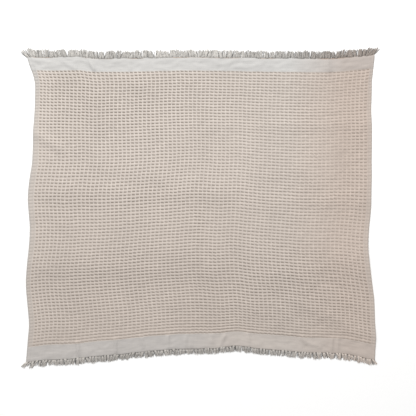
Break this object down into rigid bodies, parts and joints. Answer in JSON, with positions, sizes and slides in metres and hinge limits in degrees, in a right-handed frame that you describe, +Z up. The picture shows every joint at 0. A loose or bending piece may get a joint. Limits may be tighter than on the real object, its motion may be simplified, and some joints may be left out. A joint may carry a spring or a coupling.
{
  "type": "waffle weave cotton blanket",
  "caption": "Throw blanket laid flat: one cotton cloth with a waffle field, a plain band at each end and a short tufted fringe.",
  "frame": {"origin": "on the surface the blanket lies on, under the middle of its bounding box, fringes included", "axes": "+Z up out of the cloth's face, +Y along the warp towards the far fringed end, +X across the width to the right, as the picture shows it"},
  "size_m": [1.5413, 1.3999, 0.0092],
  "materials": {
    "waffle_cotton": "matt soft-washed cotton, beige waffle field with cooler grey-white plain bands",
    "fringe_yarn": "matt grey-white twisted cotton yarn"
  },
  "bodies": {
    "root": {"cloth": "waffle_cotton", "fringe_far": "fringe_yarn", "fringe_near": "fringe_yarn"}
  },
  "joints": []
}
